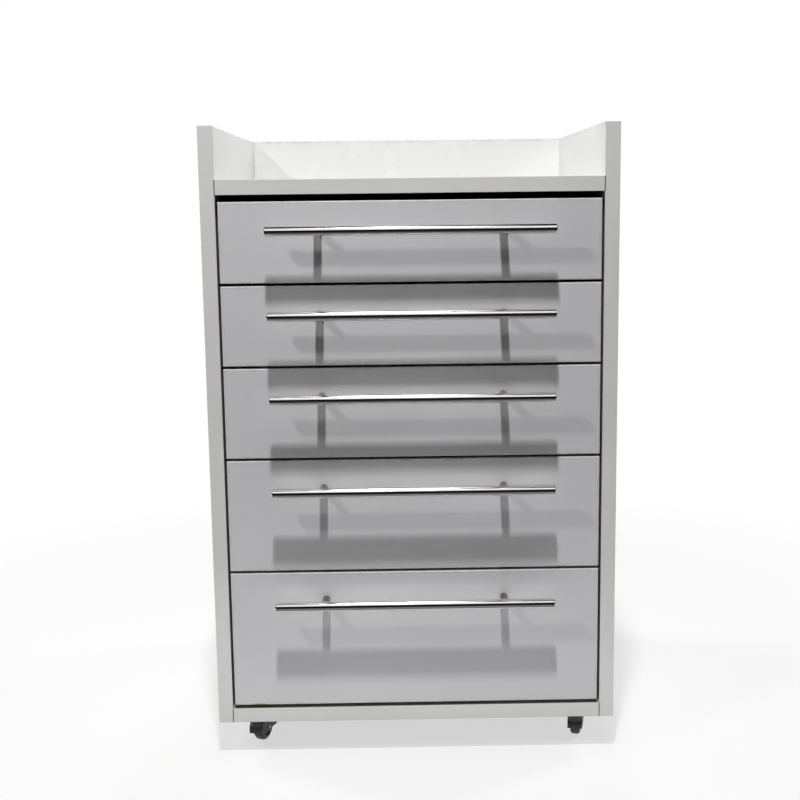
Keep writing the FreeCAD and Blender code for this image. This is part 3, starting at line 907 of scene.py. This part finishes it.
@dataclass(frozen=True)
class Card:
    """A flat dark card that only polished surfaces see, tilted about X and Y by angles in degrees."""

    name: str
    place: Triple
    width: float
    depth: float
    tilt: Pair = (0.0, 0.0)
    colour: Colour = (0.012, 0.012, 0.012)

    def build(self) -> None:
        """Make the card and hide it from all rays but the glossy ones."""
        card = flat_sheet(self.name, self.width, self.depth)
        card.rotation_euler = (math.radians(self.tilt[0]), math.radians(self.tilt[1]), 0.0)
        card.location = self.place
        for rays in ("camera", "diffuse", "shadow", "transmission", "volume_scatter"):
            setattr(card, f"visible_{rays}", False)
        made, graph = new_material(self.name)
        graph.finish(graph.node("ShaderNodeBsdfDiffuse", values={"Color": self.colour}))
        card.data.materials.append(made)


def flat_sheet(name: str, width: float, depth: float) -> bpy.types.Object:
    """Add a flat sheet that is part of the stage.

    Args:
        name: The sheet's name.
        width: Its size along X.
        depth: Its size along Y.

    Returns:
        The sheet.
    """
    bpy.ops.object.select_all(action="DESELECT")
    bpy.ops.mesh.primitive_plane_add(size=1.0)
    sheet = bpy.context.active_object
    sheet.name = name
    sheet.scale = (width, depth, 1.0)
    return sheet


@dataclass(frozen=True)
class Studio:
    """The floor, the world, the dark cards and the lamps.

    The floor shows pale, but throws back only as much light as a darker paper and room would.
    """

    floor_size: float = 14.0
    floor_pale: Colour = (0.85, 0.85, 0.85)
    paper: Colour = (0.3, 0.3, 0.3)
    room: Colour = (0.2, 0.2, 0.2)
    paper_reach: Pair = (0.55, 0.9)
    floor_glow: float = 0.62
    shadow_reach: Pair = (0.35, 1.3)
    cards: tuple[Card, ...] = (
        Card("front_card", (0.0, -1.65, 0.6), 4.4, 1.2, tilt=(90.0, 0.0)),
        Card("top_card", (0.0, 0.0, 3.4), 4.4, 3.1),
        Card("near_floor_card", (0.0, -0.5, 0.006), 4.4, 0.46, colour=(0.2, 0.2, 0.2)),
        Card("far_floor_card", (0.0, -1.63, 0.006), 4.4, 1.8, colour=(0.05, 0.05, 0.05)),
        Card("left_card", (-2.2, -0.4, 1.2), 2.4, 3.2, tilt=(0.0, 90.0)),
        Card("right_card", (2.2, -0.4, 1.2), 2.4, 3.2, tilt=(0.0, 90.0)),
    )
    lamps: tuple[Lamp, ...] = (
        Lamp("ceiling_lamp", (-0.04, -1.25, 3.2), 0.13, 0.16, 73.0, (1.0, 0.995, 0.985)),
        Lamp("left_lamp", (-1.15, -1.09, 1.66), 0.12, 0.12, 7.0, (1.0, 0.985, 0.97)),
        Lamp(
            "paper_lamp", (0.0, -0.385, 0.004), 1.2, 0.23, 0.8, aim=(0.0, -0.384, 1.0), seen_in_metal=False
        ),
        Lamp("right_side_lamp", (1.9, 0.9, 1.5), 0.5, 0.5, 3.4, aim=(0.25, 0.03, 0.42), spread=75.0),
        Lamp("left_side_lamp", (-1.9, 0.9, 1.5), 0.5, 0.5, 3.4, aim=(-0.25, 0.03, 0.42), spread=75.0),
        Lamp("back_lamp", (0.3, 2.4, 1.6), 0.5, 0.5, 3.6, aim=(0.0, 0.24, 0.42), spread=75.0),
    )

    def build(self) -> None:
        """Make the floor, the world, the cards and the lamps."""
        self._floor()
        self._world()
        for part in (*self.cards, *self.lamps):
            part.build()

    def _seen(self, graph: Graph) -> Wire:
        """Tell what is looked at from what only gives light.

        Args:
            graph: The graph that the nodes go to.

        Returns:
            One for rays from the camera, and for those by way of a polished surface or glass.
        """
        path = graph.node("ShaderNodeLightPath", output="Is Camera Ray").socket.node
        camera, gloss, glass = (
            Wire(graph, path.outputs[name])
            for name in ("Is Camera Ray", "Is Glossy Ray", "Is Transmission Ray")
        )
        return camera.most(gloss).most(glass)

    def _floor(self) -> None:
        """A pale floor that keeps the cabinet's shadow and turns white further out."""
        floor = flat_sheet("floor", self.floor_size, self.floor_size)
        made, graph = new_material("floor_pale")
        seen = self._seen(graph)
        point = graph.node("ShaderNodeNewGeometry", output="Position")
        away = graph.node("ShaderNodeVectorMath", {"operation": "LENGTH"}, {"Vector": point}, output="Value")
        glow = away.rise(*self.shadow_reach, self.floor_glow, 1.0) * seen
        bounced = graph.blend(away.rise(*self.paper_reach), self.paper, self.room)
        colour = graph.blend(seen, bounced, self.floor_pale)
        paint = graph.node("ShaderNodeBsdfDiffuse", values={"Color": colour})
        light = graph.node("ShaderNodeEmission", values={"Color": WHITE})
        graph.finish(self._mix(graph, glow, paint, light))
        floor.data.materials.append(made)

    @staticmethod
    def _mix(graph: Graph, share: Wire, first: Wire, second: Wire) -> Wire:
        """Mix two shaders, whose sockets share one name.

        Args:
            graph: The graph that the nodes go to.
            share: The second shader's share.
            first: The shader at a share of nought.
            second: The shader at a share of one.

        Returns:
            The mixed shader.
        """
        mixed = graph.node("ShaderNodeMixShader", values={"Fac": share})
        sockets = mixed.socket.node.inputs
        graph.tree.links.new(first.socket, sockets[1])
        graph.tree.links.new(second.socket, sockets[2])
        return mixed

    def _world(self) -> None:
        """A white sky that only the camera, polished surfaces and glass see."""
        world = bpy.data.worlds.new("studio")
        bpy.context.scene.world = world
        world.use_nodes = True
        graph = Graph(world.node_tree)
        values = {"Color": WHITE, "Strength": self._seen(graph)}
        graph.finish(graph.node("ShaderNodeBackground", values=values), "ShaderNodeOutputWorld")


def main() -> None:
    """Load the frame, dress every piece, and set the stage."""
    logging.basicConfig(level=logging.INFO, format="%(message)s")
    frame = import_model()
    nodes = frame["nodes"]
    lowest = DRAWERS[-1]
    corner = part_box(f"drawer_front_{lowest}")[0]
    stain_spot = (corner.x + STAIN_INSET, corner.z)
    Carcass().dress(nodes)
    for number in DRAWERS:
        Drawer(number, stain_spot if number == lowest else None).dress(nodes)
    for name in CORNERS:
        Caster(name).dress(nodes)
    PhotoCamera().build()
    Studio().build()
    bpy.context.scene.view_settings.view_transform = "Standard"


if __name__ == "__main__":
    main()
